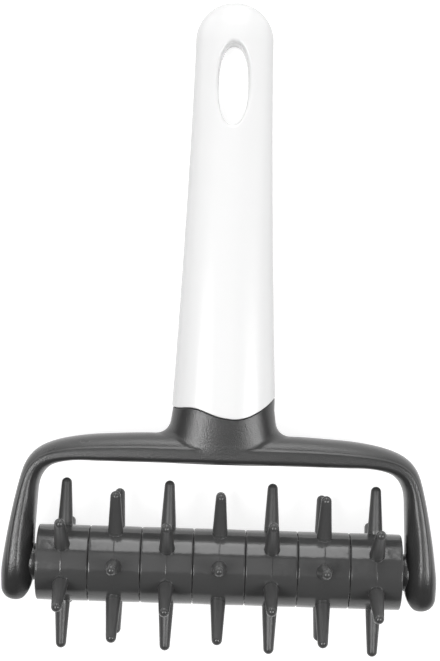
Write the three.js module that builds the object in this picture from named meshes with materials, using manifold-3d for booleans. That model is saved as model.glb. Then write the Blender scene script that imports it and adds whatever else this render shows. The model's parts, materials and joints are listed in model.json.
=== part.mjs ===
// Dough docker: a roller of seven spiked rings on one keyed axle, carried between the arms of a
// plastic yoke whose neck ends in a tang inside a hollow white handle.
// Lengths in millimetres, angles in degrees, +X along the roller, +Z up.
import * as THREE from 'three';
import { mergeVertices } from 'three/addons/utils/BufferGeometryUtils.js';
import Module from 'manifold-3d';

const wasm = await Module();
wasm.setup();

// Fits shared by neighbouring pieces
const fitGap = 0.3; // between faces that touch or run on each other
const keyGap = 0.2; // between each flat of the axle and of a ring's bore
const overrun = 2; // how far a cutting tool runs past the face that it opens

// Spiked rings
const ringCount = 7;
const ringPitch = 16;
const drumRadius = 11.7;
const drumChamfer = 0.45;
const drumWall = 2.6;
const drumWebWidth = 3.2;
const hubRadius = 7.6;
const pocketDepth = 6;
const spikesPerRing = 6;
const spikeReach = 26.2; // from the axis to the rounded point
const spikeTipRadius = 1.6;
const spikeRootRadius = 2.35;

// Axle
const axleFlats = 9; // across the flats of the hexagon
const journalRadius = 3;
const journalLength = 6.2;
const journalChamfer = 0.5;

// Yoke
const bossRadius = 5.7;
const bossFlare = 0.7;
const bossStand = 1.25; // how far each boss stands off the arm's inner face
const armWidth = 9.7; // across the arm at the axle, along the roller
const armDrop = 11.9; // from the axis to the arm's lower end
const armEndRise = 5; // height of the round at the arm's lower end
const armLand = 5; // length of the flat on the outside of the arm, just above that round
const spikeRoom = 5.4; // from the passing spikes to the crossbar
const crossbarHeight = 9.2;
const yokeHalfDepth = 7.5;

// Neck and the wavy seam between neck and handle, measured from the axle
const seamHeight = 48.9;
const seamLean = 0.8;
const seamWave = 2.15;
const seamTwist = 1.28;
const neckInset = 0.3; // the handle's skin stands this far proud of the neck

// Handle
const handleLength = 125.6; // from the seam to the handle's end
const rootHalfWidth = 16;
const rootHalfDepth = 9.3;
const tipHalfWidth = 12;
const tipHalfDepth = 5.8;
const handleWall = 2.2;
const cavityLength = 79;
const holeLength = 24.4;
const holeWidth = 8.3;
const holeFromEnd = 25.5; // from the handle's end to the middle of the hole
const holeFlare = 1.2;
const holeFlareDepth = 1.6;

// Tang
const tangRib = 3;
const tangDiscWidth = 2.6;
const tangDiscCount = 4;
const tangEndRoom = 2.5;

// How the roller stands when the docker lies down
const ringStep = 180 / spikesPerRing; // neighbouring rings are turned by half a spike spacing
const rollerTurn = 4.1; // the upper spikes lean towards the handle

// Each ring's place in the small play that its bore has on the axle
const ringPlayShare = [0.15, -0.25, -0.15, 0.05, 0.5, 0.1, -0.25];

const taperPower = 1.4; // how the handle's sides run from its root to its end
const sectionPower = 2.3; // roundness of its section: 2 is an ellipse, more is squarer

// How finely round shapes are divided
const drumSides = 30;
const coreSides = 24;
const spikeSides = 10;
const bossSides = 28;
const gripSides = 32;
const holeSides = 26;

const TAU = Math.PI * 2;
const rad = THREE.MathUtils.degToRad;

const ringWidth = ringPitch - fitGap;
const rollerHalf = ((ringCount - 1) * ringPitch + ringWidth) / 2;
const bossFace = rollerHalf + fitGap;
const armInner = bossFace + bossStand;
const armOuter = armInner + armWidth;
const crossbarUnder = spikeReach + spikeRoom;
const crossbarTop = crossbarUnder + crossbarHeight;
const handleEnd = seamHeight + handleLength;

const darkPlastic = () => new THREE.MeshStandardMaterial({ color: 0x4a4a4c, roughness: 0.42, metalness: 0 });
const ringPlastic = () => new THREE.MeshStandardMaterial({ color: 0x434345, roughness: 0.35, metalness: 0 });
const whitePlastic = () => new THREE.MeshStandardMaterial({ color: 0xf4f4f2, roughness: 0.2, metalness: 0 });

// A closed geometry as a solid that can be joined or cut, and a solid as a geometry again
function solidOf(geometry) {
  const bare = geometry.clone();
  bare.deleteAttribute('normal');
  bare.deleteAttribute('uv');
  const merged = mergeVertices(bare);
  return new wasm.Manifold(new wasm.Mesh({
    numProp: 3,
    vertProperties: new Float32Array(merged.attributes.position.array),
    triVerts: new Uint32Array(merged.index.array),
  }));
}

function geometryOf(solid) {
  const mesh = solid.getMesh();
  const geometry = new THREE.BufferGeometry();
  geometry.setAttribute('position', new THREE.BufferAttribute(new Float32Array(mesh.vertProperties), 3));
  geometry.setIndex(new THREE.BufferAttribute(new Uint32Array(mesh.triVerts), 1));
  geometry.computeVertexNormals();
  return geometry;
}

// Skin over a row of rings with equally many points, closed by a fan at both ends: round the
// middle of the first ring, and round the tip, or else the middle of the last
function loft(rings, tip) {
  const around = rings[0].length;
  const points = rings.flat();
  const faces = [];
  for (let i = 0; i < rings.length - 1; i++) {
    for (let j = 0; j < around; j++) {
      const a = i * around + j;
      const b = i * around + (j + 1) % around;
      faces.push(a, b, b + around, a, b + around, a + around);
    }
  }
  for (const [row, flip] of [[0, true], [rings.length - 1, false]]) {
    const centre = new THREE.Vector3();
    rings[row].forEach((point) => centre.add(point));
    points.push(tip && row > 0 ? tip : centre.divideScalar(around));
    for (let j = 0; j < around; j++) {
      const a = row * around + j;
      const b = row * around + (j + 1) % around;
      faces.push(...(flip ? [b, a, points.length - 1] : [a, b, points.length - 1]));
    }
  }
  const geometry = new THREE.BufferGeometry().setFromPoints(points);
  geometry.setIndex(faces);
  return geometry;
}

// A solid turned about the roller's axis, from a profile of [radius, place along the axis]
function turned(profile, segments) {
  const points = profile.map(([radius, along]) => new THREE.Vector2(radius, along));
  return new THREE.LatheGeometry(points, segments).rotateZ(-Math.PI / 2);
}

// A bar of hexagonal section along the roller's axis, with a corner towards +Z
function hexBar(flats, length) {
  const corner = flats / 2 / Math.cos(Math.PI / 6);
  return new THREE.CylinderGeometry(corner, corner, length, 6).rotateZ(-Math.PI / 2);
}

// Spiked ring: a cored drum with a hexagonal bore. The bore is turned by a quarter of the spike
// spacing, so the same moulding, put on the axle the other way round, sets its spikes midway.
function spikeRing(flip) {
  const half = ringWidth / 2;
  const edge = drumRadius - drumChamfer;
  let ring = solidOf(turned([
    [0, -half], [edge, -half], [drumRadius, -half + drumChamfer],
    [drumRadius, half - drumChamfer], [edge, half], [0, half],
  ], drumSides));
  const coreOuter = drumRadius - drumWall;
  const spike = new THREE.LatheGeometry([
    new THREE.Vector2(0, drumRadius - drumWall / 2),
    new THREE.Vector2(spikeRootRadius, drumRadius - drumWall / 2),
    ...[0, 48].map((tip) => new THREE.Vector2(
      spikeTipRadius * Math.cos(rad(tip)),
      spikeReach - spikeTipRadius + spikeTipRadius * Math.sin(rad(tip)),
    )),
    new THREE.Vector2(0, spikeReach),
  ], spikeSides).rotateX(Math.PI / 2);
  for (let k = 0; k < spikesPerRing; k++) {
    const turn = rad(flip * ringStep / 2) + TAU * k / spikesPerRing;
    ring = ring.add(solidOf(spike.clone().rotateX(-turn)));
  }
  const floor = Math.max(drumWebWidth / 2, half - pocketDepth);
  const depth = half - floor + overrun;
  for (const side of [-1, 1]) {
    const near = side * floor;
    const far = side * (floor + depth);
    const [low, high] = side < 0 ? [far, near] : [near, far];
    const core = turned([
      [hubRadius, low], [coreOuter, low], [coreOuter, high], [hubRadius, high], [hubRadius, low],
    ], coreSides);
    ring = ring.subtract(solidOf(core));
  }
  return geometryOf(ring.subtract(solidOf(hexBar(axleFlats + 2 * keyGap, ringWidth + 2 * overrun))));
}

// Axle: a hexagonal bar as long as the stack of rings, with a round journal at each end
function axleShaft() {
  const end = rollerHalf + journalLength;
  const journals = turned([
    [0, -end], [journalRadius - journalChamfer, -end], [journalRadius, -end + journalChamfer],
    [journalRadius, end - journalChamfer], [journalRadius - journalChamfer, end], [0, end],
  ], coreSides);
  return geometryOf(solidOf(hexBar(axleFlats, 2 * rollerHalf)).add(solidOf(journals)));
}

// Section of the arch, as shares of its width from the outer to the inner edge and of its depth:
// a flat outer land, a shallow valley and a bead that runs round the arch on both faces
const archSectionShares = [
  [0, 0.28], [0.06, 0.6], [0.17, 0.81], [0.3, 0.87], [0.4, 0.97],
  [0.5, 1], [0.66, 0.94], [0.82, 0.78], [0.94, 0.5], [1, 0.2],
];

// Outer edge of the arch, as shares of the arms' outer span and of the crossbar's top
const archOuterShares = [
  [0, 1], [0.18, 1], [0.36, 0.999], [0.5, 0.988], [0.6, 0.976], [0.7, 0.952], [0.79, 0.912],
  [0.86, 0.848], [0.9, 0.766], [0.924, 0.655], [0.945, 0.51], [0.963, 0.36], [0.98, 0.2], [0.994, 0.04],
];

// Inner edge, as shares of the arms' inner span and of the crossbar's underside
const archInnerShares = [
  [0, 1], [0.2, 1], [0.4, 1], [0.57, 1], [0.68, 1], [0.78, 1], [0.86, 0.98],
  [0.917, 0.942], [0.952, 0.885], [0.978, 0.79], [0.989, 0.64], [0.995, 0.46], [1, 0.25], [1, 0.04],
];

// Half of the arch, from the middle of the crossbar to the rounded end of one arm
function archRings(side) {
  const rings = [];
  const addRing = (outer, inner, depth) => {
    const front = archSectionShares.map(([across, deep]) => new THREE.Vector3(
      side * THREE.MathUtils.lerp(outer.x, inner.x, across),
      THREE.MathUtils.lerp(outer.y, inner.y, across),
      deep * depth,
    ));
    const back = front.toReversed().map((point) => new THREE.Vector3(point.x, point.y, -point.z));
    rings.push([...front, ...back]);
  };
  archOuterShares.forEach(([outAcross, outUp], i) => {
    const [inAcross, inUp] = archInnerShares[i];
    const outer = new THREE.Vector2(outAcross * armOuter, outUp * crossbarTop);
    const inner = new THREE.Vector2(inAcross * armInner, inUp * crossbarUnder);
    addRing(outer, inner, yokeHalfDepth);
  });
  const middle = (armInner + armOuter) / 2;
  const roundStart = armEndRise - armDrop;
  for (const height of [roundStart + armLand, roundStart]) {
    addRing(new THREE.Vector2(armOuter, height), new THREE.Vector2(armInner, height), yokeHalfDepth);
  }
  for (const angle of [28, 52, 70, 83]) {
    const across = ovalShare(Math.cos(rad(angle)));
    const height = roundStart - armEndRise * ovalShare(Math.sin(rad(angle)));
    addRing(
      new THREE.Vector2(middle + armWidth / 2 * across, height),
      new THREE.Vector2(middle - armWidth / 2 * across, height),
      yokeHalfDepth * across,
    );
  }
  return rings;
}

// Half width and half depth of the handle at a height above the axle
function gripShare(height) {
  const straight = handleEnd - tipHalfWidth - seamHeight;
  const along = Math.min(1, (height - seamHeight) / straight);
  return (1 - along) ** taperPower;
}
const gripHalfWidth = (height) => tipHalfWidth + (rootHalfWidth - tipHalfWidth) * gripShare(height);
const gripHalfDepth = (height) => tipHalfDepth + (rootHalfDepth - tipHalfDepth) * gripShare(height);

// Height of the seam between neck and handle, by the angle round the handle from the front
function seamAt(angle) {
  return seamHeight + seamLean * Math.sin(angle) - seamWave * Math.cos(2 * angle)
    - seamTwist * Math.sin(3 * angle);
}

// A sine or cosine drawn out so that the two trace an oval a little squarer than an ellipse
const ovalShare = (value) => Math.sign(value) * Math.abs(value) ** (2 / sectionPower);

// Rounded section of the handle and neck; heightAt gives each point its height
function gripRing(halfWidth, halfDepth, heightAt, around) {
  return Array.from({ length: around }, (_, k) => {
    const angle = TAU * k / around;
    return new THREE.Vector3(
      halfWidth * ovalShare(Math.sin(angle)),
      heightAt(angle),
      halfDepth * ovalShare(Math.cos(angle)),
    );
  });
}

// Neck: an oval column out of the crossbar, filleted where it leaves it. Each level has a height,
// as a share of the way from the crossbar's underside to its top, and shares of the neck's sides.
const neckLevelShares = [
  [0.25, 0.5, 0.62], [0.5, 0.82, 0.86], [0.7, 0.94, 0.89], [0.86, 1.04, 0.91], [0.95, 1.18, 0.92],
  [1.01, 1.2, 0.925], [1.06, 1.11, 0.93], [1.14, 1.045, 0.94], [1.3, 1.01, 0.96],
];

function yokeFrame() {
  const right = archRings(1);
  const left = archRings(-1).slice(1).reverse();
  let yoke = solidOf(loft([...left, ...right]));
  const neckHalfWidth = rootHalfWidth - neckInset;
  const neckHalfDepth = rootHalfDepth - neckInset;
  const levels = neckLevelShares.map(([up, wide, deep]) => {
    const height = crossbarUnder + up * crossbarHeight;
    return gripRing(wide * neckHalfWidth, deep * neckHalfDepth, () => height, gripSides);
  });
  const neckTop = (angle) => seamAt(angle) - fitGap / 2;
  levels.push(gripRing(neckHalfWidth, neckHalfDepth, neckTop, gripSides));
  yoke = yoke.add(solidOf(loft(levels)));
  const bore = journalRadius + fitGap;
  for (const side of [-1, 1]) {
    const boss = turned([
      [0, bossFace], [bossRadius, bossFace], [bossRadius, armInner - bossStand / 2],
      [bossRadius + bossFlare, armInner + fitGap], [bossRadius, armInner + armWidth / 2],
      [0, armInner + armWidth / 2],
    ], bossSides);
    const socket = turned([
      [0, bossFace - overrun], [bore, bossFace - overrun],
      [bore, rollerHalf + journalLength + fitGap], [0, rollerHalf + journalLength + fitGap],
    ], coreSides);
    const turnRound = side < 0 ? Math.PI : 0;
    yoke = yoke.add(solidOf(boss.rotateY(turnRound)));
    yoke = yoke.subtract(solidOf(socket.rotateY(turnRound)));
  }
  return geometryOf(tangSolids().reduce((sum, piece) => sum.add(piece), yoke));
}

// Inside of the handle: its outline less the wall
const cavityEnd = seamHeight + cavityLength;
const cavityHalfWidth = (height) => gripHalfWidth(height) - handleWall;
const cavityHalfDepth = (height) => gripHalfDepth(height) - handleWall;

// Tang: two crossed ribs and the discs that centre them in the handle
function tangSolids() {
  const bottom = (crossbarUnder + crossbarTop) / 2;
  const top = cavityEnd - tangEndRoom;
  const heights = [0, 0.2, 0.4, 0.6, 0.8, 1].map((share) => THREE.MathUtils.lerp(bottom, top, share));
  const reach = (half, other) => {
    const inset = half - fitGap;
    return inset * (1 - (tangRib / 2 / (other - fitGap)) ** sectionPower) ** (1 / sectionPower);
  };
  const box = (halfX, halfZ, height) => [[-1, 1], [1, 1], [1, -1], [-1, -1]].map(
    ([x, z]) => new THREE.Vector3(x * halfX, height, z * halfZ),
  );
  const inCavity = (height) => Math.max(height, seamHeight);
  const wide = loft(heights.map((height) => box(
    reach(cavityHalfWidth(inCavity(height)), cavityHalfDepth(inCavity(height))),
    tangRib / 2,
    height,
  )));
  const deep = loft(heights.map((height) => box(
    tangRib / 2,
    reach(cavityHalfDepth(inCavity(height)), cavityHalfWidth(inCavity(height))),
    height,
  )));
  const solids = [solidOf(wide), solidOf(deep)];
  for (let k = 0; k < tangDiscCount; k++) {
    const height = seamHeight + (top - seamHeight) * (k + 0.5) / tangDiscCount;
    const discTop = height + tangDiscWidth;
    solids.push(solidOf(loft([height, discTop].map((level) => gripRing(
      cavityHalfWidth(discTop) - fitGap,
      cavityHalfDepth(discTop) - fitGap,
      () => level,
      coreSides,
    )))));
  }
  return solids;
}

// Handle: a long oval sleeve, open at the seam and solid round the hanging hole
const straightEnd = handleEnd - tipHalfWidth; // where the round of the handle's end begins

const gripLevelShares = [0.07, 0.2, 0.35, 0.5, 0.67, 0.84, 1];
const endAngles = [22, 42, 59, 73, 83];

function handleGrip() {
  const rim = (angle) => seamAt(angle) + fitGap / 2;
  const levels = [gripRing(rootHalfWidth, rootHalfDepth, rim, gripSides)];
  for (const share of gripLevelShares) {
    const height = THREE.MathUtils.lerp(seamHeight, straightEnd, share);
    levels.push(gripRing(gripHalfWidth(height), gripHalfDepth(height), () => height, gripSides));
  }
  for (const angle of endAngles) {
    const across = Math.cos(rad(angle));
    const height = straightEnd + tipHalfWidth * Math.sin(rad(angle));
    levels.push(gripRing(tipHalfWidth * across, tipHalfDepth * across, () => height, gripSides));
  }
  const sleeve = solidOf(loft(levels, new THREE.Vector3(0, handleEnd, 0)));
  return geometryOf(sleeve.subtract(solidOf(handleCavity())).subtract(solidOf(hangingHole())));
}

const cavityLevelShares = [0.1, 0.4, 0.7, 1];

function handleCavity() {
  const mouth = (angle) => seamAt(angle) - overrun;
  const levels = [gripRing(
    cavityHalfWidth(seamHeight), cavityHalfDepth(seamHeight), mouth, coreSides,
  )];
  for (const share of cavityLevelShares) {
    const height = THREE.MathUtils.lerp(seamHeight, cavityEnd, share);
    levels.push(gripRing(cavityHalfWidth(height), cavityHalfDepth(height), () => height, coreSides));
  }
  const roundEnd = cavityEnd + handleWall;
  levels.push(gripRing(
    cavityHalfWidth(cavityEnd) - handleWall,
    cavityHalfDepth(cavityEnd) - handleWall,
    () => roundEnd,
    coreSides,
  ));
  return loft(levels);
}

// Hanging hole: an upright oval with flared rims
function hangingHole() {
  const middle = handleEnd - holeFromEnd;
  const face = gripHalfDepth(middle);
  const levels = [
    [face + overrun, holeFlare], [face, holeFlare], [face - holeFlareDepth, 0],
    [holeFlareDepth - face, 0], [-face, holeFlare], [-face - overrun, holeFlare],
  ];
  return loft(levels.map(([depth, flare]) => Array.from({ length: holeSides }, (_, k) => {
    const angle = TAU * k / holeSides;
    return new THREE.Vector3(
      (holeWidth / 2 + flare) * ovalShare(Math.cos(angle)),
      middle + (holeLength / 2 + flare) * ovalShare(Math.sin(angle)),
      -depth,
    );
  })));
}

function named(name, geometry, material) {
  const mesh = new THREE.Mesh(geometry, material);
  mesh.name = name;
  return mesh;
}

const roller = new THREE.Group();
roller.rotation.x = -rad(rollerTurn + ringStep / 2);
roller.add(named('axle_shaft', axleShaft(), darkPlastic()));
const boreFlat = axleFlats / 2 + keyGap;
const axleCorner = axleFlats / 2 / Math.cos(Math.PI / 6);
const keyPlay = Math.PI / 6 - Math.acos(Math.min(1, boreFlat / axleCorner));
for (let k = 0; k < ringCount; k++) {
  const ring = named(`spike_ring_${k + 1}`, spikeRing(k % 2 ? -1 : 1), ringPlastic());
  ring.position.x = (k - (ringCount - 1) / 2) * ringPitch;
  ring.rotation.x = -(ringPlayShare[k] ?? 0) * keyPlay;
  roller.add(ring);
}

const docker = new THREE.Group();
const grip = named('handle_grip', handleGrip(), whitePlastic());
docker.add(named('yoke_frame', yokeFrame(), darkPlastic()));
docker.add(grip);
docker.add(roller);

// The docker lies on its lowest spikes and on the round of the handle's end, so it is tilted
// until both reach the same level
const lowestOf = (object) => new THREE.Box3().setFromObject(object, true).min.z;
let level = 0;
let steep = Math.PI / 12;
for (let k = 0; k < 24; k++) {
  const tilt = (level + steep) / 2;
  docker.rotation.x = -tilt;
  docker.updateMatrixWorld(true);
  if (lowestOf(grip) > lowestOf(roller)) {
    level = tilt;
  } else {
    steep = tilt;
  }
}

// Origin in the middle of the docker's outline, on the surface that it lies on
const box = new THREE.Box3().setFromObject(docker, true);
const middle = box.getCenter(new THREE.Vector3());
docker.position.set(-middle.x, -middle.y, -box.min.z);

const part = new THREE.Group();
part.add(docker);

export default part;
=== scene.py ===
"""Dough docker: seven spiked rings on one keyed axle, carried between the arms of a dark plastic
yoke whose neck plugs into a long white handle. The docker lies on its spikes on a white table."""
import json
import math

import bmesh
import bpy
import numpy as np
from mathutils import Matrix


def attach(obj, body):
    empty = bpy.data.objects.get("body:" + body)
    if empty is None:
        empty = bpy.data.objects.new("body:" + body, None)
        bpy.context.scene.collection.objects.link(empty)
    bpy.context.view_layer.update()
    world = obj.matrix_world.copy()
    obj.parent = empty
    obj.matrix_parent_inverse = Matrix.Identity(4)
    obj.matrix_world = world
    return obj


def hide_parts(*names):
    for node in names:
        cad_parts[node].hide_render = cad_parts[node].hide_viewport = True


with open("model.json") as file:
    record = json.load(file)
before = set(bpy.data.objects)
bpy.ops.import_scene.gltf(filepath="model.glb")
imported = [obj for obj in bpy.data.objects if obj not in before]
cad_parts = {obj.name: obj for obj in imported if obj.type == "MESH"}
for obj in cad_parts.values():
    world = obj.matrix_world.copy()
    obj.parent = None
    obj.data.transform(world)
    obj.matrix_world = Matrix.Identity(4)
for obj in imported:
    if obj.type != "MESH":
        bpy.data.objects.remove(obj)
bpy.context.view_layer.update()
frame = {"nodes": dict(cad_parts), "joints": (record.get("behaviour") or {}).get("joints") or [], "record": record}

# How the docker lies, and where it is seen from. Its drawing is in millimetres: x along the roller,
# y up the handle from the roller's axis, z out of its face. It lies on its lowest spikes and on the
# round of its handle's end, so the frame turns that face a few degrees away from straight up.
MM = 0.001
spin = next(joint for joint in frame["joints"] if joint["name"] == "roller_spin")
hanging = next(mount for mount in frame["record"]["mounts"] if mount["name"] == "hanging_hole")
axis_place = np.array(spin["pos_m"])
to_hole = np.array(hanging["pos_m"]) - axis_place
lie_turn = math.atan2(-to_hole[2], to_hole[1])
lie = np.array([
    [1, 0, 0],
    [0, math.cos(lie_turn), math.sin(lie_turn)],
    [0, -math.sin(lie_turn), math.cos(lie_turn)],
])


def laid(points):
    """Drawing to frame: y' = y cos t + z sin t and z' = z cos t - y sin t, then moved to the axis."""
    return points @ lie.T * MM + axis_place


camera_place = np.array([-1.30, 73.11, 561.83])
camera_roll = math.radians(1.745)
camera_turn = math.radians(0.06)
camera_lens = 98.855
camera_sensor = 36
seen_from = Matrix.Rotation(camera_turn, 3, "Y") @ Matrix.Rotation(camera_roll, 3, "Z")
camera_data = bpy.data.cameras.new("camera")
camera_data.lens = camera_lens
camera_data.sensor_width = camera_sensor
camera_data.clip_start = 0.01
camera_data.clip_end = 20
camera = bpy.data.objects.new("camera", camera_data)
bpy.context.scene.collection.objects.link(camera)
camera.matrix_world = Matrix.Translation(laid(camera_place)) @ (Matrix(lie) @ seen_from).to_4x4()
bpy.context.scene.camera = camera

# The studio: two soft boxes beside the camera, a weak one overhead, two high up at the sides, and one
# past the handle's end that draws the light band along the drums. Round them the horizon is white
# and the sky dark, over a white table.
bpy.context.scene.view_settings.view_transform = "Standard"
lamp_target = np.array([0, 20, 0])


def soft_box(name, side_angle, up_angle, distance, width, height, radiance):
    """A rectangular lamp that faces the middle of the docker from a direction, given as its angles
    off the docker's face towards +x and towards +y; its power is radiance times area times pi."""
    data = bpy.data.lights.new(name, "AREA")
    data.shape = "RECTANGLE"
    data.size = width
    data.size_y = height
    data.energy = radiance * width * height * math.pi
    lamp = bpy.data.objects.new(name, data)
    bpy.context.scene.collection.objects.link(lamp)
    turn = Matrix.Rotation(math.radians(side_angle), 3, "Y") @ Matrix.Rotation(
        math.radians(-up_angle), 3, "X")
    facing = Matrix(lie) @ turn
    lamp.matrix_world = Matrix.Translation(
        laid(lamp_target) + np.array(facing.col[2]) * distance) @ facing.to_4x4()


soft_box("near_left", -24.5, -7, 0.8, 0.27, 0.4, 8.6)
soft_box("near_right", 35, -6.5, 0.8, 0.34, 0.34, 7.8)
soft_box("overhead", -8, 11, 0.8, 0.4, 0.76, 0.7)
soft_box("far_left", -60, 38, 0.9, 0.45, 0.7, 1.2)
soft_box("far_right", 60, 38, 0.9, 0.45, 0.7, 0.7)
soft_box("beyond_end", 1, 64, 0.9, 0.3, 0.62, 4.2)

world = bpy.data.worlds.new("studio")
bpy.context.scene.world = world
world.use_nodes = True
sky_nodes = world.node_tree.nodes
sky_links = world.node_tree.links
sky_place = sky_nodes.new("ShaderNodeTexCoord")
sky_parts = sky_nodes.new("ShaderNodeSeparateXYZ")
sky_links.new(sky_place.outputs["Generated"], sky_parts.inputs["Vector"])
sky_fade = sky_nodes.new("ShaderNodeMapRange")
sky_fade.interpolation_type = "SMOOTHSTEP"
sky_fade.inputs["From Min"].default_value = 0.02
sky_fade.inputs["From Max"].default_value = 0.25
sky_fade.inputs["To Min"].default_value = 1
sky_fade.inputs["To Max"].default_value = 0.03
sky_links.new(sky_parts.outputs["Z"], sky_fade.inputs["Value"])
sky_links.new(sky_fade.outputs["Result"], sky_nodes["Background"].inputs["Strength"])
sky_nodes["Background"].inputs["Color"].default_value = (1, 1, 1, 1)

# The table is a pale grey that looks white: to the camera, and to anything glossy or clear, it also
# glows, and more so farther out, where less lamp light falls. The glow never reaches the docker's
# own colours, and the docker's shadow stays on the table.
floor_half = 3.0
floor_colour = 0.45
floor_glow = 0.82
floor_mesh = bpy.data.meshes.new("table_top")
floor_mesh.from_pydata(
    [(-floor_half, -floor_half, 0), (floor_half, -floor_half, 0),
     (floor_half, floor_half, 0), (-floor_half, floor_half, 0)], [], [(0, 1, 2, 3)])
floor = bpy.data.objects.new("table_top", floor_mesh)
bpy.context.scene.collection.objects.link(floor)
floor_material = bpy.data.materials.new("white_table")
floor_material.use_nodes = True
floor_nodes = floor_material.node_tree.nodes
floor_links = floor_material.node_tree.links
floor_shader = floor_nodes["Principled BSDF"]
floor_shader.inputs["Base Color"].default_value = (floor_colour, floor_colour, floor_colour, 1)
floor_shader.inputs["Roughness"].default_value = 1
floor_shader.inputs["Specular IOR Level"].default_value = 0
floor_shader.inputs["Emission Color"].default_value = (1, 1, 1, 1)
seen_by = floor_nodes.new("ShaderNodeLightPath")
camera_or_gloss = floor_nodes.new("ShaderNodeMath")
camera_or_gloss.operation = "MAXIMUM"
any_sight = floor_nodes.new("ShaderNodeMath")
any_sight.operation = "MAXIMUM"
glow = floor_nodes.new("ShaderNodeMath")
glow.operation = "MULTIPLY"
floor_place = floor_nodes.new("ShaderNodeTexCoord")
floor_reach = floor_nodes.new("ShaderNodeVectorMath")
floor_reach.operation = "LENGTH"
far_glow = floor_nodes.new("ShaderNodeMapRange")
far_glow.inputs["From Min"].default_value = 0.4
far_glow.inputs["From Max"].default_value = 1.0
far_glow.inputs["To Min"].default_value = floor_glow
far_glow.inputs["To Max"].default_value = 1
floor_links.new(floor_place.outputs["Object"], floor_reach.inputs[0])
floor_links.new(floor_reach.outputs["Value"], far_glow.inputs["Value"])
floor_links.new(far_glow.outputs["Result"], glow.inputs[1])
floor_links.new(seen_by.outputs["Is Camera Ray"], camera_or_gloss.inputs[0])
floor_links.new(seen_by.outputs["Is Glossy Ray"], camera_or_gloss.inputs[1])
floor_links.new(camera_or_gloss.outputs["Value"], any_sight.inputs[0])
floor_links.new(seen_by.outputs["Is Transmission Ray"], any_sight.inputs[1])
floor_links.new(any_sight.outputs["Value"], glow.inputs[0])
floor_links.new(glow.outputs["Value"], floor_shader.inputs["Emission Strength"])
floor_mesh.materials.append(floor_material)

# Handle: one glossy white moulding, an oval sleeve that slips over the yoke's tang. It tapers to a
# flat round end with an upright hanging hole, and its mouth is cut to a wave. Sizes in millimetres.
seam_height = 48.96
seam_odd = (0.871, -1.146, -0.238)
seam_even = (2.204, 0.2, 0.215)
seam_gap = 0.2
handle_end = 174.5
root_half_width = 16
root_half_depth = 9.3
tip_half_width = 12
tip_half_depth = 5.8
taper_power = 1.4
section_power = 2.3
handle_wall = 2.2
rim_round = 0.35
cavity_end = 127.9
hole_middle = 149
hole_half_length = 12.6
hole_half_width = 4.6
hole_flare = 1.25
hole_flare_depth = 1.2
straight_end = handle_end - tip_half_width


def oval(value):
    """A sine or cosine s drawn out to sign(s) |s|^(2/p), so that the two trace a superellipse."""
    return np.sign(value) * np.abs(value) ** (2 / section_power)


def seam_at(angle):
    """Height of the seam by the angle a round the handle from its front: h + o1 sin a + o3 sin 3a
    + o5 sin 5a - e2 cos 2a - e4 cos 4a - e6 cos 6a."""
    odd = sum(size * np.sin(times * angle) for size, times in zip(seam_odd, (1, 3, 5)))
    even = sum(size * np.cos(times * angle) for size, times in zip(seam_even, (2, 4, 6)))
    return seam_height + odd - even


def handle_section(height):
    """Half width and half depth at a height: tip + (root - tip) (1 - s)^1.4, with s the share of
    the way up the sides, and both times sqrt(1 - e^2) over the rounded end, e going 0 to 1."""
    along = np.clip((height - seam_height) / (straight_end - seam_height), 0, 1)
    swell = (1 - along) ** taper_power
    past = np.clip((height - straight_end) / tip_half_width, 0, 1)
    close = np.sqrt(1 - past ** 2)
    half_width = (tip_half_width + (root_half_width - tip_half_width) * swell) * close
    half_depth = (tip_half_depth + (root_half_depth - tip_half_depth) * swell) * close
    return half_width, half_depth


def handle_ring(angle, height, inset):
    """Points round the handle: x = (W - i) oval(sin a), z = (D - i) oval(cos a) at each height."""
    half_width, half_depth = handle_section(height)
    return np.stack([
        (half_width - inset) * oval(np.sin(angle)),
        height + 0 * angle,
        (half_depth - inset) * oval(np.cos(angle)),
    ], -1)


def handle_face(x, height):
    """Height of the front face over the middle plane: D (1 - |x/W|^p)^(1/p)."""
    half_width, half_depth = handle_section(height)
    share = np.clip(np.abs(x) / np.maximum(half_width, 1e-9), 0, 1)
    return half_depth * (1 - share ** section_power) ** (1 / section_power)


def sleeve_skin():
    """The profile goes down the cavity's wall, round the rim and up the outside; carried round the
    handle, its heights are measured from the wavy seam and straighten out towards the far end."""
    angle = np.linspace(0, math.tau, 193)
    turn = np.linspace(0, math.pi / 2, 7)
    rise = np.linspace(0, 1, 46)[1:] ** 1.25
    rim = seam_gap / 2
    inset = np.concatenate([
        np.full(rise.size, handle_wall),
        handle_wall - rim_round * (1 - np.cos(turn)),
        rim_round * (1 - np.sin(turn)),
        np.zeros(rise.size),
    ])
    low = np.concatenate([
        rise[::-1] * 0 + rim + rim_round,
        rim + rim_round * (1 - np.sin(turn)),
        rim + rim_round * (1 - np.cos(turn)),
        rise * 0 + rim + rim_round,
    ])
    share = np.concatenate([rise[::-1], turn * 0, turn * 0, rise])
    start = seam_at(angle)[None, :] + low[:, None]
    height = start + (cavity_end - start) * share[:, None]
    sleeve = handle_ring(angle[None, :], height, inset[:, None])
    shrink = np.cos(np.linspace(0, math.pi / 2, 9))
    end_width, end_depth = handle_section(np.array(cavity_end))
    cap_height = cavity_end + handle_wall * np.sin(np.linspace(0, math.pi / 2, 9))
    cap = np.stack([
        shrink[:, None] * (end_width - handle_wall) * oval(np.sin(angle)),
        cap_height[:, None] + 0 * angle,
        shrink[:, None] * (end_depth - handle_wall) * oval(np.cos(angle)),
    ], -1)
    return [cap, sleeve]


def hole_reach(angle, flare):
    """Distance from the hole's middle to its edge in a direction: (|cos/a|^p + |sin/b|^p)^(-1/p)."""
    across = np.abs(np.cos(angle)) / (hole_half_width + flare)
    along = np.abs(np.sin(angle)) / (hole_half_length + flare)
    return (across ** section_power + along ** section_power) ** (-1 / section_power)


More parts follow.
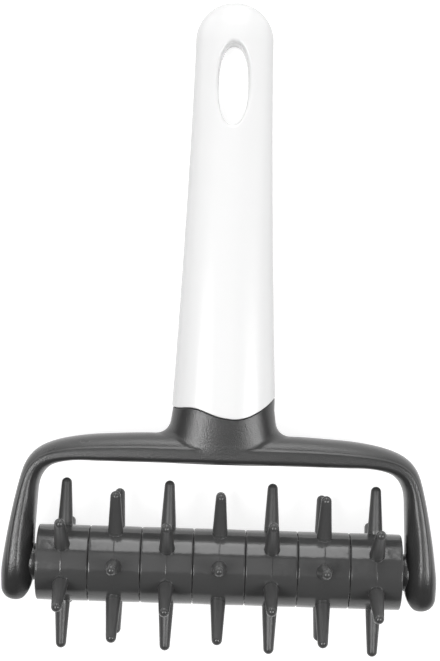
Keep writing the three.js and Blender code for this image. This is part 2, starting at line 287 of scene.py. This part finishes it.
def end_skin():
    """Front of the handle's end: lines run from its outline to the hole's rim, gathered towards the
    outline, and lie on the face; then a quarter round leads into the hole's straight throat."""
    front = np.linspace(-math.pi / 2, math.pi / 2, 97)
    foot = handle_ring(front, np.full(front.size, cavity_end), 0)
    side_height = np.linspace(cavity_end, straight_end, 37)[1:]
    side_width = handle_section(side_height)[0]
    bow = np.linspace(0, math.pi, 73)[1:]
    outline = np.concatenate([
        foot[:, :2],
        np.stack([side_width, side_height], -1),
        np.stack([tip_half_width * np.cos(bow), straight_end + tip_half_width * np.sin(bow)], -1),
        np.stack([-side_width, side_height], -1)[-2::-1],
        foot[:1, :2],
    ])
    angle = np.arctan2(outline[:, 1] - hole_middle, outline[:, 0])
    aim = np.stack([np.cos(angle), np.sin(angle)], -1)
    middle = np.array([0, hole_middle])
    rim = middle + aim * hole_reach(angle, hole_flare)[:, None]
    share = np.linspace(0, 1, 37) ** 1.9
    flat = outline + (rim - outline) * share[:, None, None]
    face = handle_face(flat[..., 0], flat[..., 1])
    face[0, front.size:-1] = 0
    face[0, :front.size] = foot[:, 2]
    face[0, -1] = foot[0, 2]
    skin = np.concatenate([flat, face[..., None]], -1)
    turn = np.linspace(0, math.pi / 2, 11)[1:]
    flare = hole_flare * (1 - np.sin(turn))
    bend = middle + aim * hole_reach(angle[None, :], flare[:, None])[..., None]
    drop = face[-1] - hole_flare_depth * (1 - np.cos(turn))[:, None]
    flared = np.concatenate([bend, drop[..., None]], -1)
    throat = np.linspace(flared[-1], flared[-1] * [1, 1, 0], 5)
    return [np.concatenate([skin, flared, throat[1:]])]


def skin_piece(name, grids, place=laid, weld=2e-6):
    """One mesh from grids of points: each cell is a face, edges that lie on each other are merged
    and the normals are turned outwards."""
    points = []
    faces = []
    start = 0
    for grid in grids:
        rows, columns = grid.shape[:2]
        index = start + np.arange(rows * columns).reshape(rows, columns)
        corners = [index[:-1, :-1], index[1:, :-1], index[1:, 1:], index[:-1, 1:]]
        faces.append(np.stack(corners, -1).reshape(-1, 4))
        points.append(grid.reshape(-1, 3))
        start += rows * columns
    mesh = bpy.data.meshes.new(name)
    mesh.from_pydata(place(np.concatenate(points)).tolist(), [], np.concatenate(faces).tolist())
    shape = bmesh.new()
    shape.from_mesh(mesh)
    bmesh.ops.remove_doubles(shape, verts=shape.verts, dist=weld)
    bmesh.ops.recalc_face_normals(shape, faces=shape.faces)
    shape.to_mesh(mesh)
    shape.free()
    mesh.shade_smooth()
    piece = bpy.data.objects.new(name, mesh)
    bpy.context.scene.collection.objects.link(piece)
    return piece


def mirrored(grid):
    """The same grid on the other side of the middle plane: z becomes -z."""
    return grid * [1, 1, -1]


def moulded_plastic(name, colour, roughness, bend, cloud, peel, peel_height):
    """Moulded plastic: a colour with faint clouds, a gloss that varies a little, and the shallow
    orange peel of its mould; bend is its index of refraction, peel the size of a bump and
    peel_height its depth, in metres. With a roughness of None the gloss is left to the caller."""
    material = bpy.data.materials.new(name)
    material.use_nodes = True
    nodes = material.node_tree.nodes
    links = material.node_tree.links
    shader = nodes["Principled BSDF"]
    shader.inputs["IOR"].default_value = bend
    place = nodes.new("ShaderNodeTexCoord")
    clouds = nodes.new("ShaderNodeTexNoise")
    clouds.inputs["Scale"].default_value = 90
    clouds.inputs["Detail"].default_value = 4
    links.new(place.outputs["Object"], clouds.inputs["Vector"])
    tone = nodes.new("ShaderNodeMix")
    tone.data_type = "RGBA"
    tone.inputs["A"].default_value = (*[part * (1 - cloud) for part in colour], 1)
    tone.inputs["B"].default_value = (*[part * (1 + cloud) for part in colour], 1)
    links.new(clouds.outputs["Fac"], tone.inputs["Factor"])
    links.new(tone.outputs["Result"], shader.inputs["Base Color"])
    if roughness is not None:
        gloss = nodes.new("ShaderNodeMapRange")
        gloss.inputs["To Min"].default_value = roughness * 0.85
        gloss.inputs["To Max"].default_value = roughness * 1.15
        links.new(clouds.outputs["Fac"], gloss.inputs["Value"])
        links.new(gloss.outputs["Result"], shader.inputs["Roughness"])
    grain = nodes.new("ShaderNodeTexNoise")
    grain.inputs["Scale"].default_value = 1 / peel
    grain.inputs["Detail"].default_value = 2
    links.new(place.outputs["Object"], grain.inputs["Vector"])
    bump = nodes.new("ShaderNodeBump")
    bump.inputs["Distance"].default_value = peel_height
    links.new(grain.outputs["Fac"], bump.inputs["Height"])
    links.new(bump.outputs["Normal"], shader.inputs["Normal"])
    return material


handle_front = end_skin()
handle = skin_piece("white_handle", sleeve_skin() + handle_front + [mirrored(handle_front[0])])
handle.data.materials.append(
    moulded_plastic("glossy_white", (0.88, 0.88, 0.88), 0.2, 1.5, 0.01, 0.004, 0.00002))
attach(handle, "frame")
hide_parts("handle_grip")

# Yoke: one dark grey moulding in satin plastic. An arch, the crossbar and its two arms, carries an
# oval neck on top; a low step runs round both faces of the arch, and each arm has a round boss
# inside with a blind socket for the axle. The neck ends in the tang that holds the handle.
roller_half = 55.85
fit_gap = 0.3
boss_face = roller_half + fit_gap
arm_inner = boss_face + 1.25
arm_outer = arm_inner + 9.7
crossbar_under = 31.9
crossbar_top = 40.95
arch_half_depth = 7.5
arm_round_start = -6.9
arm_end_rise = 5
arm_inner_round = -3.4

# The arch's faces: over what length, and how squarely, the depth closes at an arm's tip, the step
# across the face, and the inner side's power and fall, under the crossbar and beside a boss
arm_ball = 15
ball_power = 2.4
tip_step = 0.27
step_width = 0.05
step_depth = 0.038
step_fade = 9
bar_fullness = 4.5
bar_side_start = 30
bar_side_fade = 9
boss_side_start = 8
boss_side_fade = 24
boss_side_fullness = 6
boss_side_dip = 0.6
dip_ease = 0.3

# The neck: its oval and its foot, the reach of the fillet round it, and where the stations of the
# fillet and of the seam end on the crossbar's underside
neck_inset = 0.3
neck_half_width = root_half_width - neck_inset
neck_half_depth = root_half_depth - neck_inset
neck_foot = 38
neck_foot_half_depth = 7.8
neck_foot_flare = 1.4
fillet_least = 0.6
fillet_more = 4.0
fillet_fade = 7
under_corner = 15
under_neck = 11

# Stations along half of the arch: outer edge as shares of the outer span and of the crossbar's
# top, inner edge as shares of the inner span and of its underside, and where the step lies across
arch_shares = np.array([
    [0, 1, 0, 1, 0.46], [0.18, 1, 0.2, 1, 0.46], [0.36, 0.999, 0.4, 1, 0.46],
    [0.5, 0.988, 0.57, 1, 0.46], [0.6, 0.976, 0.68, 1, 0.47], [0.7, 0.952, 0.78, 1, 0.47],
    [0.79, 0.912, 0.86, 0.98, 0.44], [0.86, 0.848, 0.917, 0.942, 0.38],
    [0.9, 0.766, 0.952, 0.885, 0.31], [0.924, 0.655, 0.978, 0.79, 0.235],
    [0.945, 0.51, 0.989, 0.64, 0.2], [0.963, 0.36, 0.995, 0.46, 0.187],
    [0.98, 0.2, 1, 0.25, 0.197], [0.994, 0.04, 1, 0.04, 0.22],
])


def smooth_line(places, points, at):
    """Natural cubic spline: through points, one at each place, with a second derivative that runs
    linearly from place to place and is nil at both ends; read at the places `at`."""
    gap = np.diff(places)
    slope = np.diff(points, axis=0) / gap[:, None]
    size = len(places)
    inside = np.arange(1, size - 1)
    system = np.eye(size)
    system[inside, inside - 1] = gap[:-1]
    system[inside, inside] = 2 * (gap[:-1] + gap[1:])
    system[inside, inside + 1] = gap[1:]
    right = np.zeros_like(points)
    right[1:-1] = 6 * np.diff(slope, axis=0)
    bend = np.linalg.solve(system, right)
    cell = np.clip(np.searchsorted(places, at) - 1, 0, size - 2)
    width = gap[cell][:, None]
    near = ((places[cell + 1] - at) / gap[cell])[:, None]
    far = 1 - near
    return (near * points[cell] + far * points[cell + 1]
            + ((near ** 3 - near) * bend[cell] + (far ** 3 - far) * bend[cell + 1]) * width ** 2 / 6)


def arch_face(across, step_at, relief, fullness, dip):
    """Height of the arch's face as a share of its half depth, across from the outer edge (0) to the
    inner edge (1): two quarter superellipses that meet at a crown c, less a low step on the outer
    side. The step's place t sets the crown, c = 0.3 + 0.76 t, and the outer side's power, 3.75 -
    3.4 t; fullness is the inner side's power, and that side, s going 0 to 1 across it, has also
    fallen off by dip times (sqrt(s^2 + e^2) - e), in which e eases the start."""
    crown = 0.30 + 0.76 * step_at
    power = 3.75 - 3.4 * step_at
    outer = np.clip((crown - across) / crown, 0, 1)
    inner = np.clip((across - crown) / (1 - crown), 0, 1)
    slope = np.hypot(inner, dip_ease) - dip_ease
    fall = (1 - dip * slope) * (1 - inner ** fullness) ** (1 / fullness)
    face = (1 - outer ** power) ** (1 / power) * fall
    climb = np.clip((across - step_at) / step_width + 0.5, 0, 1)
    climb = climb * climb * (3 - 2 * climb)
    return face * (1 - step_depth * relief * (1 - climb))


# Points across a face, gathered at its edges, and the arch's two edges with their place along it
across = (1 - np.cos(np.linspace(0, math.pi, 73))) / 2
arch_control = arch_shares * [arm_outer, crossbar_top, arm_inner, crossbar_under, 1]
arm_foot = np.array([
    [arm_outer, -1.9, arm_inner, -0.6, 0.245],
    [arm_outer, arm_round_start, arm_inner, arm_inner_round, tip_step],
])
arch_control = np.concatenate([arch_control, arm_foot])
arch_control = np.concatenate([arch_control[:0:-1] * [-1, 1, -1, 1, 1], arch_control])
arch_middle = (arch_control[:, :2] + arch_control[:, 2:4]) / 2
arch_place = np.concatenate([[0], np.cumsum(np.hypot(*np.diff(arch_middle, axis=0).T))])
arch_place -= arch_place[-1] / 2

# The collar, the part of the arch that carries the neck, ends at the station whose outer edge is here
collar_end = 24
searched = np.linspace(0, arch_place[-1] / 2, 201)
outer_found = smooth_line(arch_place, arch_control, searched)[:, 0]
collar_place = np.interp(collar_end, outer_found, searched)
collar_inner = smooth_line(arch_place, arch_control, np.array([collar_place]))[0, 2]


def arm_stations(side):
    """Edges and step place, share of the depth, step's height, fullness and dip at each station, from
    the crossbar to the arm's tip: the spline of the arch, then lines that close over the tip, whose
    outer half is a superellipse and whose inner half is an ellipse. The depth closes over a longer
    way, (1 - s^2.4)^(1/2.4), the step fades out by the tip, and the inner side is square under the
    crossbar and falls off beside the boss to an edge that is squarer still."""
    at = np.linspace(collar_place, arch_place[-1], 131)
    arch = smooth_line(arch_place, arch_control, at)
    turn = np.linspace(0, math.pi / 2, 25)[1:]
    arm_tip = arm_round_start - arm_end_rise
    middle = (arm_inner + arm_outer) / 2
    half = (arm_outer - arm_inner) / 2
    tip = np.stack([
        middle + half * oval(np.cos(turn)), arm_round_start - arm_end_rise * oval(np.sin(turn)),
        middle - half * np.cos(turn), arm_inner_round + (arm_tip - arm_inner_round) * np.sin(turn),
        tip_step + 0 * turn], -1)
    stations = np.concatenate([arch, tip])
    above_tip = stations[:, 1] - arm_tip
    depth = (1 - np.clip(1 - above_tip / arm_ball, 0, 1) ** ball_power) ** (1 / ball_power)
    relief = np.clip((stations[:, 1] - arm_round_start) / step_fade, 0, 1)
    under_bar = np.clip((stations[:, 1] - bar_side_start) / bar_side_fade, 0, 1)
    beside_boss = np.clip(1 - (stations[:, 1] - boss_side_start) / boss_side_fade, 0, 1)
    fullness = 2 + (bar_fullness - 2) * under_bar ** 2
    fullness = fullness + boss_side_fullness * beside_boss ** 2
    stations[:, [0, 2]] *= side
    return stations, depth, relief, fullness, boss_side_dip * beside_boss


def arm_sheet(side):
    """Front of one arm and its part of the crossbar: straight lines from outer to inner edge, with
    the arch's face as their height."""
    stations, depth, relief, fullness, dip = arm_stations(side)
    outer = stations[:, None, :2]
    inner = stations[:, None, 2:4]
    flat = outer + (inner - outer) * across[None, :, None]
    high = arch_half_depth * depth[:, None] * arch_face(
        across[None, :], stations[:, 4:5], relief[:, None], fullness[:, None], dip[:, None])
    high[:, [0, -1]] = 0
    return np.concatenate([flat, high[..., None]], -1)


# Where the neck grows out of the crossbar, the skin is the zero level of two distances blended
crossbar_half = (crossbar_top - crossbar_under) / 2
crossbar_middle = (crossbar_top + crossbar_under) / 2
section_across = np.linspace(0, 1, 721)
section_out = crossbar_half * (1 - 2 * section_across)
section_high = arch_half_depth * arch_face(
    section_across, arch_shares[0, 4], 1, bar_fullness, 0)
section_angle = np.arctan2(section_high, section_out)
section_reach = np.hypot(section_high, section_out)


def crossbar_distance(x, y, z):
    """Distance from the crossbar's section, measured along the ray from its middle."""
    out = y - crossbar_middle
    reach = np.interp(np.arctan2(np.abs(z), out), section_angle, section_reach)
    return np.hypot(out, z) - reach + 0 * x


def neck_distance(x, y, z):
    """Distance from the neck's oval, measured along the ray from its middle. The oval deepens and
    narrows from its foot to the seam, and below its foot it sinks into the crossbar, by a quarter
    of the square of the way down, counted in steps of two millimetres."""
    up = np.clip((y - neck_foot) / (seam_height - neck_foot), 0, 1.5)
    down = np.clip((neck_foot - y) / 2, 0, 4)
    half_depth = neck_foot_half_depth + (neck_half_depth - neck_foot_half_depth) * up - 0.25 * down ** 2
    half_width = neck_half_width + neck_foot_flare * (1 - np.clip(up, 0, 1))
    share = ((np.abs(x) / half_width) ** section_power
             + (np.abs(z) / half_depth) ** section_power) ** (1 / section_power)
    return np.hypot(x, z) * (1 - 1 / np.maximum(share, 1e-6))


def collar_distance(x, y, z):
    """Both distances blended: the lesser, less r/4 (1 - |a - b|/r)^2 where they differ by less than
    r, which is the fillet's reach: wide at the neck's sides and narrow on its face."""
    bar = crossbar_distance(x, y, z)
    neck = neck_distance(x, y, z)
    reach = fillet_least + fillet_more * np.clip(1 - np.abs(z) / fillet_fade, 0, 1)
    near = np.clip(1 - np.abs(bar - neck) / reach, 0, 1)
    return np.minimum(bar, neck) - near ** 2 * reach / 4


def halving(distance, inside, outside):
    """Where a distance is nil between points inside and outside, by halving the span 40 times."""
    for _ in range(40):
        middle = (inside + outside) / 2
        within = (distance(middle) < 0)[..., None]
        inside = np.where(within, middle, inside)
        outside = np.where(within, outside, middle)
    return (inside + outside) / 2


def collar_side(side):
    """Outline of the collar on one side, from the crossbar's top round the fillet and up the neck
    to the end of the seam, with the points of the underside that its stations run to. It is found
    between points outside, over the crossbar, at a corner clear of the fillet and beside the neck,
    and points well inside."""
    clear_side = 4.3
    clear_top = 4
    corner_reach = 8
    neck_core = 6
    corner = np.array([neck_half_width + clear_side, crossbar_top + clear_top])
    seam_end = float(seam_at(side * math.pi / 2)) - seam_gap / 2
    bar_x = np.linspace(collar_end, corner[0], 13)
    turn = np.linspace(-math.pi / 2, -math.pi, 19)[1:]
    rise = np.linspace(corner[1], seam_end, 21)[1:]
    outside = np.concatenate([
        np.stack([bar_x, 0 * bar_x + corner[1]], -1),
        np.broadcast_to(corner, (turn.size, 2)),
        np.stack([0 * rise + corner[0], rise], -1),
    ])
    inside = np.concatenate([
        np.stack([bar_x, 0 * bar_x + crossbar_middle], -1),
        corner + corner_reach * np.stack([np.cos(turn), np.sin(turn)], -1),
        np.stack([0 * rise + neck_core, rise], -1),
    ])
    outline = halving(lambda p: collar_distance(p[..., 0], p[..., 1], 0 * p[..., 0]), inside, outside)
    bar_under = bar_x + collar_inner - collar_end
    under_x = np.concatenate([
        bar_under, np.linspace(bar_under[-1], under_corner, turn.size + 1)[1:],
        np.linspace(under_corner, under_neck, rise.size + 1)[1:]])
    under = np.stack([under_x, 0 * under_x + crossbar_under], -1)
    return outline * [side, 1], under * [side, 1]


def collar_sheet():
    """Front of the middle of the yoke: stations fan from its outline, up one side of the neck,
    along the wavy seam and down the other side, to the crossbar's underside. Their height is found
    between the middle plane and a level over every face."""
    over_all = 12
    left_outline, left_under = collar_side(-1)
    right_outline, right_under = collar_side(1)
    angle = np.linspace(-math.pi / 2, math.pi / 2, 73)[1:-1]
    seam_x = neck_half_width * oval(np.sin(angle))
    seam = np.stack([seam_x, seam_at(angle) - seam_gap / 2], -1)
    seam_under = np.stack([seam_x * under_neck / neck_half_width, 0 * seam_x + crossbar_under], -1)
    outer = np.concatenate([left_outline, seam, right_outline[::-1]])
    inner = np.concatenate([left_under, seam_under, right_under[::-1]])
    flat = outer[:, None] + (inner - outer)[:, None] * across[None, :, None]
    low = np.concatenate([flat, 0 * flat[..., :1]], -1)
    high = low + [0, 0, over_all]
    skin = halving(lambda p: collar_distance(p[..., 0], p[..., 1], p[..., 2]), low, high)
    first = len(left_outline)
    last = first + len(seam)
    skin[:first, 0, 2] = 0
    skin[last:, 0, 2] = 0
    skin[:, -1, 2] = 0
    return skin, first - 1, last + 1


def eased_rim(skin):
    """Rounds the neck's top edge: a point less than r below the seam moves inwards, square to the
    oval, by r - sqrt(r^2 - (r - e)^2), with e its distance below the seam."""
    share = np.clip(skin[..., 0] / neck_half_width, -1, 1)
    angle = np.arcsin(np.sign(share) * np.abs(share) ** (section_power / 2))
    below = seam_at(angle) - seam_gap / 2 - skin[..., 1]
    short = np.clip(rim_round - np.maximum(below, 0), 0, rim_round)
    inset = rim_round - np.sqrt(rim_round ** 2 - short ** 2)
    out_x = np.sign(share) * np.abs(share) ** (section_power - 1) / neck_half_width
    out_z = (skin[..., 2] / neck_half_depth) ** (section_power - 1) / neck_half_depth
    size = np.hypot(out_x, out_z) + 1e-9
    moved = skin.copy()
    moved[..., 0] -= inset * out_x / size
    moved[..., 2] -= inset * out_z / size
    return moved


def boss_skin(side):
    """Boss: a pad on the arm's inner face, flared at its foot, with a blind round socket. Its profile
    of [radius, place along x] is turned about the roller's axis, and it is made oval: towards the
    front and the back, the radius r is less by 0.45 times what it has beyond the socket's rim."""
    socket = 3.3
    outer = 5.6
    edge = 0.3
    rooted = arm_inner + 2.4
    bottom = arm_inner + 1.2
    turn = np.linspace(0, math.pi / 2, 6)
    profile = np.concatenate([
        [[0, rooted], [outer, rooted]],
        [[outer, arm_inner + 0.5], [outer + 0.2, arm_inner - 0.1], [outer, arm_inner - 0.4]],
        np.stack([outer - edge + edge * np.cos(turn), boss_face + edge * (1 - np.sin(turn))], -1),
        np.stack([socket + edge * (1 - np.sin(turn)), boss_face + edge * (1 - np.cos(turn))], -1),
        [[socket, bottom], [0, bottom]],
    ])
    radius = profile[:, :1]
    depth = radius - 0.45 * np.maximum(radius - socket - edge, 0)
    angle = np.linspace(0, math.tau, 65)
    return np.stack([
        side * profile[:, 1:] + 0 * angle, radius * np.cos(angle), depth * np.sin(angle)], -1)


def slab(half_x, half_z, low, high):
    """A block with rounded long edges between two heights: a superellipse of power 8, times the half
    sizes at [bottom's middle, bottom, top, top's middle], closed at both ends."""
    angle = np.linspace(0, math.tau, 65)
    square = np.sign(np.sin(angle)) * np.abs(np.sin(angle)) ** (2 / 8)
    other = np.sign(np.cos(angle)) * np.abs(np.cos(angle)) ** (2 / 8)
    share = np.array([0, 1, 1, 0])
    height = np.array([low, low, high, high])
    return np.stack([
        share[:, None] * half_x[:, None] * square,
        height[:, None] + 0 * angle,
        share[:, None] * half_z[:, None] * other,
    ], -1)


def tang_skin():
    """Tang: two crossed ribs, each a slab, and four oval discs that centre them in the handle. A
    disc's edges are chamfered, and its ends close on its middle, where the inset eats all of it."""
    end_room = 2.5
    top = cavity_end - end_room
    foot_width, foot_depth = handle_section(np.array(seam_height))
    top_width, top_depth = handle_section(np.array(top))
    room = handle_wall + fit_gap
    rib_inset = 0.4
    rib_half = 1.5
    disc_width = 2.6
    disc_edge = 0.3
    whole = 20
    width = np.array([foot_width, foot_width, top_width, top_width]) - room - rib_inset
    depth = np.array([foot_depth, foot_depth, top_depth, top_depth]) - room - rib_inset
    thin = np.full(4, rib_half)
    grids = [slab(width, thin, crossbar_middle, top), slab(thin, depth, crossbar_middle, top)]
    angle = np.linspace(0, math.tau, 97)
    for share in (0.125, 0.375, 0.625, 0.875):
        level = seam_height + (top - seam_height) * share
        half_width, half_depth = handle_section(np.array(level + disc_width))
        inset = np.array([whole, disc_edge, 0, 0, disc_edge, whole])
        height = level + np.array([0, 0, disc_edge, disc_width - disc_edge, disc_width, disc_width])
        x_half = np.maximum(half_width - room - inset, 0)[:, None]
        z_half = np.maximum(half_depth - room - inset, 0)[:, None]
        grids.append(np.stack([
            x_half * oval(np.sin(angle)), height[:, None] + 0 * angle, z_half * oval(np.cos(angle))], -1))
    return grids


collar, seam_first, seam_last = collar_sheet()
collar = eased_rim(collar)
seam_edge = collar[seam_first:seam_last, 0]
seam_cap = np.linspace(seam_edge, mirrored(seam_edge), 9)
arms = [arm_sheet(-1), arm_sheet(1)]
collar[0] = arms[0][0]
collar[-1] = arms[1][0]
yoke_front = [collar] + arms
yoke = skin_piece(
    "dark_yoke",
    yoke_front + [mirrored(grid) for grid in yoke_front] + [seam_cap]
    + [boss_skin(-1), boss_skin(1)] + tang_skin())
yoke.data.materials.append(
    moulded_plastic("satin_dark_grey", (0.036, 0.036, 0.036), 0.29, 1.65, 0.06, 0.0004, 0.00007))
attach(yoke, "frame")
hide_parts("yoke_frame")

# Spiked rings: seven mouldings from one two-part mould, whose halves meet in a fine ridge round the
# middle of the drum and up the spikes. Each is a cored drum with a hexagonal bore and six tapered
# spikes with rounded points, and neighbours sit half a spacing apart.
drum_radius = 11.7
drum_half = 7.94
drum_draft = 0.08
drum_edge = 0.4
spike_count = 6
per_sector = 16
spike_reach = 26.2
spike_tip = 1.6
spike_root = 2.35
spike_foot = 0.1
ridge_height = 0.03
ridge_half = 0.24
ridge_foot_fade = 1.2
ridge_tip_fade = 0.06
pocket_outer = 9.1
pocket_edge = 0.25
hub_radius = 7.6
web_half = 1.85
bore_flats = 9.4
bore_edge = 0.3


def ridge(offset):
    """Height of the ridge by the distance from the mould's parting plane: h (1 - (d/w)^2)^2."""
    return ridge_height * np.clip(1 - (offset / ridge_half) ** 2, 0, 1) ** 2


def drum_level(x):
    """Radius of the drum along its width: it falls by the mould's draft to both sides."""
    return drum_radius - drum_draft * np.abs(x) / drum_half + ridge(x)


def spike_sector():
    """One sixth of the drum with its spike. Lines run from the sector's border, where they lie close
    together at the ridge, to the spike's foot, up a round fillet and the tapered side, and over the
    point. At a distance d from the spike's axis, in a direction b, x = d cos b and the way round
    the drum is d sin b. The ridge goes up the spike too, and fades out at its foot and its point."""
    span = math.pi / spike_count
    arc_half = drum_radius * span
    flat_half = drum_half - drum_edge
    round_side = np.linspace(-1, 1, per_sector + 1) * arc_half
    shares = np.array([0, 0.12, 0.24, 0.5, 1, 1.8, 2.8, 4, 5.2, 6.4, 7.35]) / 7.35
    from_ridge = shares * flat_half
    long_side = np.concatenate([-from_ridge[:0:-1], from_ridge])
    border = np.concatenate([
        np.stack([0 * round_side + flat_half, round_side], -1),
        np.stack([long_side[::-1], 0 * long_side + arc_half], -1)[1:],
        np.stack([0 * round_side - flat_half, -round_side], -1)[1:],
        np.stack([long_side, 0 * long_side - arc_half], -1)[1:],
    ])
    aim = border / np.hypot(*border.T)[:, None]
    foot = aim * (spike_root + spike_foot)
    share = np.linspace(0, 1, 13)[:, None, None]
    flat = border + (foot - border) * share
    level = drum_level(flat[..., 0])
    way = flat[..., 1] / drum_radius
    drum = np.stack([flat[..., 0], level * np.sin(way), level * np.cos(way)], -1)
    turn = np.linspace(0, math.pi / 2, 8)[1:, None]
    out = spike_root + spike_foot * (1 - np.sin(turn))
    side = aim[:, 1] * out
    base = np.sqrt(drum_radius ** 2 - side ** 2)
    rise = spike_foot * (1 - np.cos(turn))
    fillet = np.stack([aim[:, 0] * out, side, base + rise], -1)
    raised = ridge(aim[:, 0] * out) * np.minimum(turn / ridge_foot_fade, 1)
    fillet = fillet + raised[..., None] * np.stack([0 * aim[:, 0], aim[:, 1], 0 * aim[:, 0]], -1)
    climb = np.linspace(0, 1, 15)[1:, None]
    top = spike_reach - spike_tip
    radius = spike_root + (spike_tip - spike_root) * climb
    seam = ridge(aim[:, 0] * radius) * np.clip((1 - climb) / ridge_tip_fade, 0, 1)
    cone = np.stack([
        aim[:, 0] * radius, aim[:, 1] * (radius + seam),
        fillet[-1, :, 2] + (top - fillet[-1, :, 2]) * climb], -1)
    turn = np.linspace(0, math.pi / 2, 10)[1:, None]
    point = np.stack([
        aim[:, 0] * spike_tip * np.cos(turn), aim[:, 1] * spike_tip * np.cos(turn),
        top + spike_tip * np.sin(turn) + 0 * aim[:, 0]], -1)
    return np.concatenate([drum, fillet, cone, point])


def turned_by(points, angle):
    """Points turned about the roller's axis, from +z towards +y."""
    y = points[..., 1] * math.cos(angle) + points[..., 2] * math.sin(angle)
    z = points[..., 2] * math.cos(angle) - points[..., 1] * math.sin(angle)
    return np.stack([points[..., 0], y, z], -1)


def ring_end(side, flip):
    """One end of the drum: its rounded edge, the face, the pocket with its web, the hub and half of
    the bore. Where the profile reaches the bore, its circle becomes a hexagon, whose corners lie a
    quarter of the spikes' spacing before or behind a spike, as flip is 1 or -1, so that neighbours
    on one axle differ by half of that spacing."""
    angle = np.linspace(0, math.tau, spike_count * per_sector + 1) + math.pi / spike_count
    turn = np.linspace(0, math.pi / 2, 7)
    edge_level = float(drum_level(np.array(drum_half - drum_edge)))
    ease = np.linspace(0, math.pi / 2, 4)
    profile = np.concatenate([
        np.stack([edge_level - drum_edge * (1 - np.cos(turn)),
                  drum_half - drum_edge * (1 - np.sin(turn))], -1),
        np.stack([pocket_outer + pocket_edge * (1 - np.sin(ease)),
                  drum_half - pocket_edge * (1 - np.cos(ease))], -1),
        [[pocket_outer, web_half], [hub_radius, web_half]],
        np.stack([hub_radius - pocket_edge * (1 - np.cos(ease)),
                  drum_half - pocket_edge * (1 - np.sin(ease))], -1),
    ])
    rings = np.stack([
        side * profile[:, 1:] + 0 * angle,
        profile[:, :1] * np.sin(angle), profile[:, :1] * np.cos(angle)], -1)
    facet = (angle + flip * math.pi / 12) % (math.pi / 3) - math.pi / 6
    hexagon = bore_flats / 2 / np.cos(facet)
    places = np.array([drum_half, drum_half - bore_edge, 0])
    grow = np.array([bore_edge, 0, 0])
    bore = np.stack([
        side * places[:, None] + 0 * angle,
        (hexagon + grow[:, None]) * np.sin(angle), (hexagon + grow[:, None]) * np.cos(angle)], -1)
    return np.concatenate([rings, bore])


def ring_place(name):
    """Middle of a ring along the roller, and how far its first spike is turned from +z towards +y,
    both read from its solid in the frame: its farthest corners are the spikes' points."""
    mesh = frame["nodes"][name].data
    corners = np.zeros(len(mesh.vertices) * 3, np.float32)
    mesh.vertices.foreach_get("co", corners)
    corners = corners.reshape(-1, 3) - axis_place
    farthest = corners[np.argmax(np.hypot(corners[:, 1], corners[:, 2]))]
    middle = (corners[:, 0].min() + corners[:, 0].max()) / 2
    return middle, math.atan2(farthest[1], farthest[2])


ring_material = moulded_plastic(
    "polished_dark_grey", (0.066, 0.066, 0.066), None, 1.5, 0.05, 0.0035, 0.00007)
# The drum's wall is polished, the spikes are more satin, and their points are polished again: the
# roughness goes by the distance from the roller's axis
ring_nodes = ring_material.node_tree.nodes
ring_links = ring_material.node_tree.links
ring_from_axis = ring_nodes.new("ShaderNodeVectorMath")
ring_from_axis.operation = "SUBTRACT"
ring_from_axis.inputs[1].default_value = axis_place
ring_links.new(ring_nodes["Texture Coordinate"].outputs["Object"], ring_from_axis.inputs[0])
ring_square_to_axis = ring_nodes.new("ShaderNodeVectorMath")
ring_square_to_axis.operation = "MULTIPLY"
ring_square_to_axis.inputs[1].default_value = (0, 1, 1)
ring_links.new(ring_from_axis.outputs["Vector"], ring_square_to_axis.inputs[0])
ring_distance = ring_nodes.new("ShaderNodeVectorMath")
ring_distance.operation = "LENGTH"
ring_links.new(ring_square_to_axis.outputs["Vector"], ring_distance.inputs[0])
spike_roughness = 0.36
ring_gloss = ring_nodes.new("ShaderNodeMapRange")
ring_gloss.inputs["From Min"].default_value = (drum_radius + 0.2) * MM
ring_gloss.inputs["From Max"].default_value = (drum_radius + 1.5) * MM
ring_gloss.inputs["To Min"].default_value = 0.14
ring_gloss.inputs["To Max"].default_value = spike_roughness
ring_links.new(ring_distance.outputs["Value"], ring_gloss.inputs["Value"])
point_gloss = ring_nodes.new("ShaderNodeMapRange")
point_gloss.inputs["From Min"].default_value = (spike_reach - spike_tip) * MM
point_gloss.inputs["From Max"].default_value = (spike_reach - spike_tip / 2) * MM
point_gloss.inputs["To Min"].default_value = spike_roughness
point_gloss.inputs["To Max"].default_value = 0.12
ring_links.new(ring_distance.outputs["Value"], point_gloss.inputs["Value"])
ring_roughness = ring_nodes.new("ShaderNodeMath")
ring_roughness.operation = "MINIMUM"
ring_links.new(ring_gloss.outputs["Result"], ring_roughness.inputs[0])
ring_links.new(point_gloss.outputs["Result"], ring_roughness.inputs[1])
ring_links.new(ring_roughness.outputs["Value"], ring_nodes["Principled BSDF"].inputs["Roughness"])

sector = spike_sector()
sectors = [turned_by(sector, k * math.tau / spike_count) for k in range(spike_count)]
for number in range(1, 8):
    node = f"spike_ring_{number}"
    middle, phase = ring_place(node)
    flip = 1 if number % 2 else -1
    ends = [ring_end(side, flip) for side in (-1, 1)]

    def on_axle(points):
        """Ring to frame: turned to its place on the axle, in metres."""
        return turned_by(points, phase) * MM + axis_place + [middle, 0, 0]

    ring = skin_piece(f"ring_of_spikes_{number}", sectors + ends, on_axle)
    ring.data.set_sharp_from_angle(angle=math.radians(38))
    ring.data.materials.append(ring_material)
    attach(ring, "roller")
    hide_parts(node)

# Axle: a dark plastic bar of hexagonal section through all rings, with a round journal at each end.
# Its solid is exact as it is, so it only gets its finish.
axle_material = moulded_plastic(
    "axle_dark_grey", (0.04, 0.04, 0.04), 0.4, 1.6, 0.05, 0.0012, 0.00003)
axle = frame["nodes"]["axle_shaft"]
axle.data.materials.clear()
axle.data.materials.append(axle_material)
